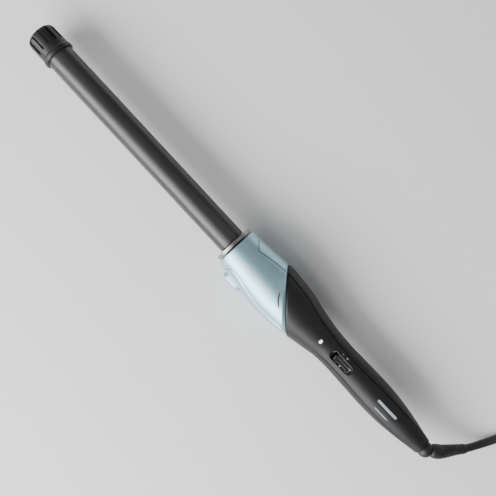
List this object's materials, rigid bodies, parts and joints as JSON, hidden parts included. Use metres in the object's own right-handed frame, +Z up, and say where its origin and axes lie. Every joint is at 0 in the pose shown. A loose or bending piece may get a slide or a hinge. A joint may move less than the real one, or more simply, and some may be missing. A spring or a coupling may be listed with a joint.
{
  "type": "curling wand",
  "caption": "Clipless curling wand: round heated barrel with ribbed cool tip, side release button, slide switch, folding stand and a swivel cord coiled beside it.",
  "frame": {"origin": "on the surface that the tool lies on, under the middle of the tool without its cord", "axes": "+X along the tool axis towards the cool tip, +Y towards the side release button, +Z up, towards the switch side"},
  "size_m": [0.5246, 0.0935, 0.0372],
  "materials": {
    "ice_blue": "metallic ice-blue lacquer, glossy",
    "black_shell": "fine matte black moulding",
    "gloss_black": "polished black",
    "barrel_coat": "satin dark grey ceramic coating",
    "collar_metal": "satin warm grey",
    "tip_black": "matte black heat-proof moulding",
    "steel": "plain steel",
    "brass": "bright contact brass",
    "copper": "copper alloy strip",
    "aluminium": "extruded",
    "ceramic": "fired ceramic, off-white",
    "amber_film": "amber insulating film",
    "board_green": "green solder mask",
    "chip_black": "moulded component body",
    "capacitor_yellow": "yellow film capacitor box",
    "lamp_white": "clear-white lamp plastic",
    "rubber_black": "soft black vinyl",
    "wire_red": "red wire insulation",
    "wire_blue": "blue wire insulation",
    "wire_white": "white wire insulation"
  },
  "bodies": {
    "handle": {"head_front_cover": "ice_blue", "head_rear_cover": "ice_blue", "handle_front_shell": "black_shell", "handle_rear_shell": "black_shell", "barrel_socket": "tip_black", "socket_contact_1": "brass", "socket_contact_2": "brass", "socket_contact_3": "brass", "switch_bezel": "gloss_black", "light_pipe": "lamp_white", "indicator_led": "lamp_white", "circuit_board": "board_green", "slide_switch": "chip_black", "film_capacitor": "capacitor_yellow", "triac": "chip_black", "controller_chip": "chip_black", "head_wire_1": "wire_red", "head_wire_2": "wire_blue", "head_wire_3": "wire_white", "mains_wire_1": "wire_red", "mains_wire_2": "wire_blue", "brush_contact_1": "copper", "brush_contact_2": "copper", "shell_screw_1": "steel", "shell_screw_2": "steel", "shell_screw_3": "steel", "stand_hinge_pin": "steel", "button_spring": "steel", "strain_relief": "rubber_black", "power_cord": "rubber_black", "cord_coil": "rubber_black", "cord_tail": "rubber_black", "cord_tie": "rubber_black", "plug_relief": "rubber_black", "plug_body": "rubber_black", "plug_blade_1": "brass", "plug_blade_2": "brass"},
    "release": {"release_button": "ice_blue", "latch_plate": "steel"},
    "slider": {"switch_slider": "gloss_black"},
    "stand": {"safety_stand": "black_shell", "stand_foot": "rubber_black"},
    "swivel": {"swivel_ball": "rubber_black", "slip_ring": "brass", "slip_pin": "brass"},
    "barrel": {"barrel_tube": "barrel_coat", "barrel_collar": "collar_metal", "barrel_base": "tip_black", "contact_pin_1": "brass", "contact_pin_2": "brass", "contact_pin_3": "brass", "heater_block_upper": "aluminium", "heater_block_lower": "aluminium", "ceramic_heater": "ceramic", "electrode_upper": "copper", "electrode_lower": "copper", "insulation_film": "amber_film", "thermistor": "ceramic", "thermal_fuse": "ceramic", "cool_tip": "tip_black"}
  },
  "joints": [
    {"name": "barrel_pull", "type": "slide", "parent": "handle", "child": "barrel", "axis": [1, 0, 0], "range_m": [0, 0.034]},
    {"name": "button_press", "type": "slide", "parent": "handle", "child": "release", "axis": [0, -1, 0], "range_m": [0, 0.002], "stiffness_N_per_m": 1200, "springref_m": -0.002, "deforming": ["button_spring"]},
    {"name": "switch_slide", "type": "slide", "parent": "handle", "child": "slider", "axis": [1, 0, 0], "range_m": [0, 0.0029]},
    {"name": "stand_fold", "type": "hinge", "parent": "handle", "child": "stand", "pos_m": [-0.009, 0, 0.0024], "axis": [0, -1, 0], "range_deg": [0, 110]},
    {"name": "cord_swivel", "type": "hinge", "parent": "handle", "child": "swivel", "pos_m": [-0.184, 0, 0.019], "axis": [1, 0, 0], "continuous": true}
  ]
}
